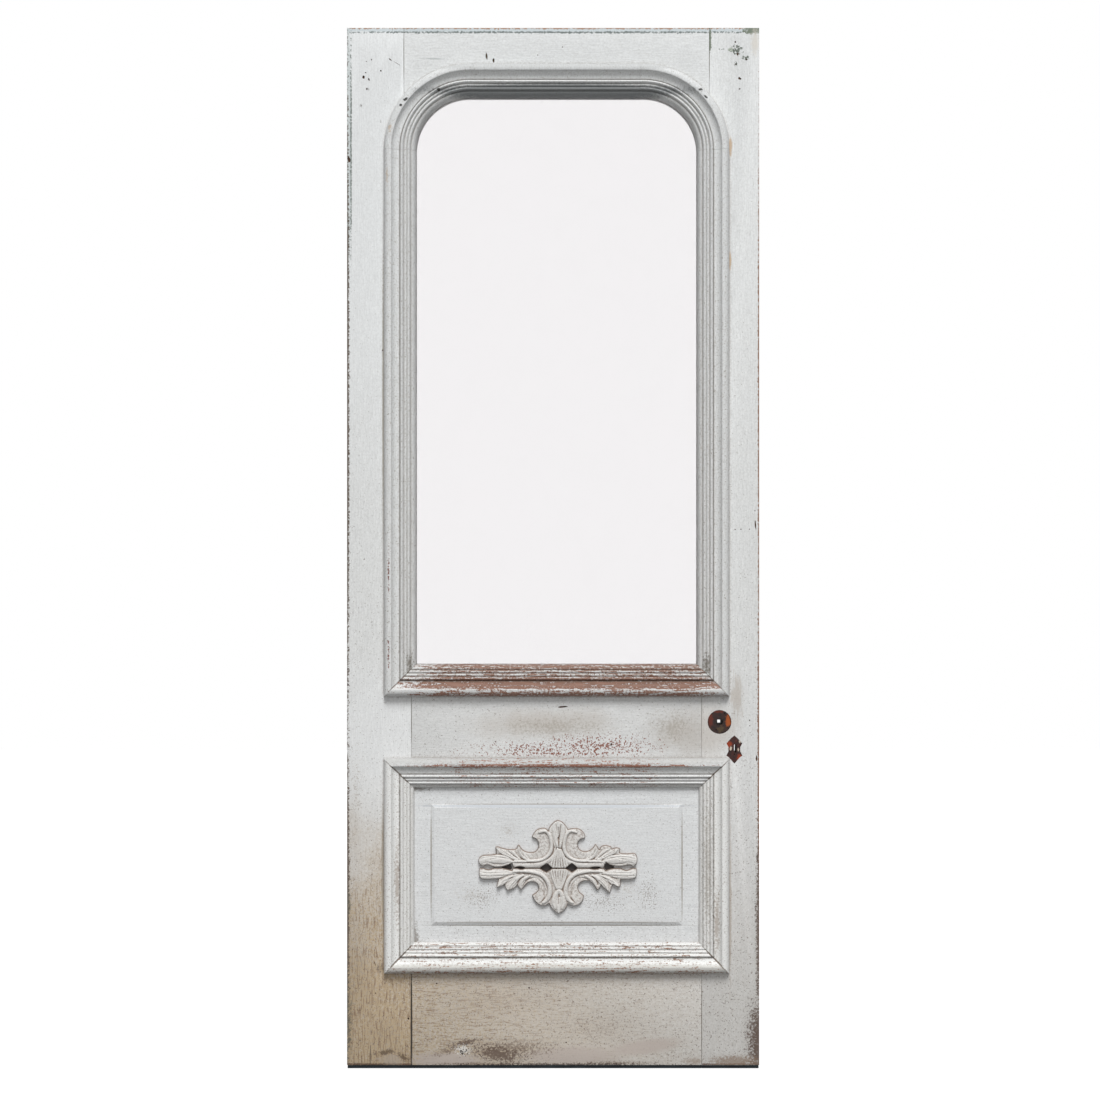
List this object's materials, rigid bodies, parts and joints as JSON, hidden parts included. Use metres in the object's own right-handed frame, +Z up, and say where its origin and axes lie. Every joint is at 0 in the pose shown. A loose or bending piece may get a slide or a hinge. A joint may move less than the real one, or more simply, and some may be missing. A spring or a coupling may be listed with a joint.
{
  "type": "panelled door with arched window",
  "caption": "Painted wooden door leaf with a round-cornered glazed light, bolection mouldings and a raised lower panel with a carved scroll and leaf ornament.",
  "frame": {"origin": "middle of the middle hinge seat, on the flat seat let into the hinge edge", "axes": "+Z up the door, +X from the hinge edge towards the lock edge, -Y out of the moulded front face"},
  "size_m": [0.9144, 0.0665, 2.3114],
  "materials": {
    "painted_wood": "old pale grey oil paint on softwood, stained and chipped",
    "painted_moulding": "old pale grey oil paint on moulded softwood, dirty in its quirks and worn to brown wood on the sill",
    "painted_carving": "old pale grey oil paint on carved wood, dirt in its hollows",
    "clear_glass": "clear flat window glass",
    "lock_iron": "old dull iron with brown rust"
  },
  "bodies": {
    "root": {"hinge_stile": "painted_wood", "lock_stile": "painted_wood", "top_rail": "painted_wood", "lock_rail": "painted_wood", "bottom_rail": "painted_wood", "lower_panel": "painted_wood", "glass_pane": "clear_glass", "light_moulding_left": "painted_moulding", "light_moulding_right": "painted_moulding", "light_moulding_sill": "painted_moulding", "light_moulding_arc_left": "painted_moulding", "light_moulding_arc_right": "painted_moulding", "light_moulding_head": "painted_moulding", "panel_moulding_left": "painted_moulding", "panel_moulding_right": "painted_moulding", "panel_moulding_bottom": "painted_moulding", "panel_moulding_top": "painted_moulding", "back_light_bead_left": "painted_moulding", "back_light_bead_right": "painted_moulding", "back_light_bead_sill": "painted_moulding", "back_light_bead_arc_left": "painted_moulding", "back_light_bead_arc_right": "painted_moulding", "back_light_bead_head": "painted_moulding", "back_panel_bead_left": "painted_moulding", "back_panel_bead_right": "painted_moulding", "back_panel_bead_bottom": "painted_moulding", "back_panel_bead_top": "painted_moulding", "ornament_upper": "painted_carving", "ornament_lower": "painted_carving", "mortise_lock": "lock_iron"}
  },
  "joints": []
}
